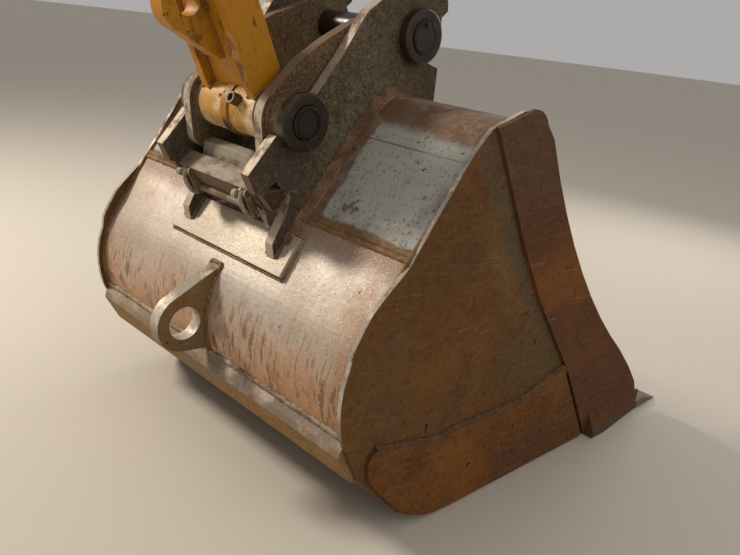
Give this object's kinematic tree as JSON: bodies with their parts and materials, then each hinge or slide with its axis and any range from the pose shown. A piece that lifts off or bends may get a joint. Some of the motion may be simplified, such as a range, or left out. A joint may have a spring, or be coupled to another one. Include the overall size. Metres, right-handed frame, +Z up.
{
  "type": "excavator bucket with coupler and link",
  "caption": "Wide digging bucket standing on its floor, with ears, a pin coupler between them that tilts out at the rear, and a bucket link that swings on the coupler.",
  "frame": {"origin": "middle of the footprint's box, on the plane that the floor plate and the cutting edge stand on", "axes": "+X across the bucket to its right end plate, -Y out of the mouth past the cutting edge, +Y to the rolled back and the link, +Z up"},
  "size_m": [1.3306, 1.7759, 1.4837],
  "materials": {
    "rusted_steel": "dull rust brown over worn paint",
    "worn_steel": "scoured bare steel with rust streaks",
    "bucket_paint": "worn pale grey paint with rust edges",
    "coupler_steel": "dark weathered paint with scuffed edges",
    "link_paint": "scuffed yellow paint"
  },
  "bodies": {
    "bucket": {"cutting_edge": "worn_steel", "floor_plate": "rusted_steel", "back_plate": "worn_steel", "top_panel": "bucket_paint", "torsion_tube": "rusted_steel", "heel_bar": "rusted_steel", "end_plate_left": "rusted_steel", "end_plate_right": "rusted_steel", "side_bar_left": "rusted_steel", "side_bar_right": "rusted_steel", "corner_shoe_left": "worn_steel", "corner_shoe_right": "worn_steel", "wear_plate_left": "rusted_steel", "wear_plate_right": "rusted_steel", "hinge_pad": "rusted_steel", "bucket_eye": "rusted_steel", "ear_left": "bucket_paint", "ear_right": "bucket_paint", "ear_bridge": "bucket_paint", "lock_lug_left": "coupler_steel", "lock_lug_right": "coupler_steel", "lock_rod": "coupler_steel"},
    "coupler": {"coupler_side_left": "coupler_steel", "coupler_side_right": "coupler_steel", "coupler_cross": "coupler_steel", "link_pin": "coupler_steel", "stick_pin": "coupler_steel", "link_collar_left": "coupler_steel", "stick_collar_left": "coupler_steel", "stick_collar_right": "coupler_steel"},
    "link": {"link_tube": "link_paint", "link_ring": "link_paint", "link_side_left": "link_paint", "link_side_right": "link_paint", "link_web": "link_paint", "link_eye": "link_paint", "link_boss_left": "link_paint", "link_boss_right": "link_paint", "grease_stub": "link_paint"}
  },
  "joints": [
    {"name": "coupler_tilt", "type": "hinge", "parent": "bucket", "child": "coupler", "pos_m": [0, 0.22704, 1.205], "axis": [1, 0, 0], "range_deg": [0, 20]},
    {"name": "link_swing", "type": "hinge", "parent": "coupler", "child": "link", "pos_m": [0, 0.60204, 0.988], "axis": [1, 0, 0], "range_deg": [-60, 50]}
  ]
}
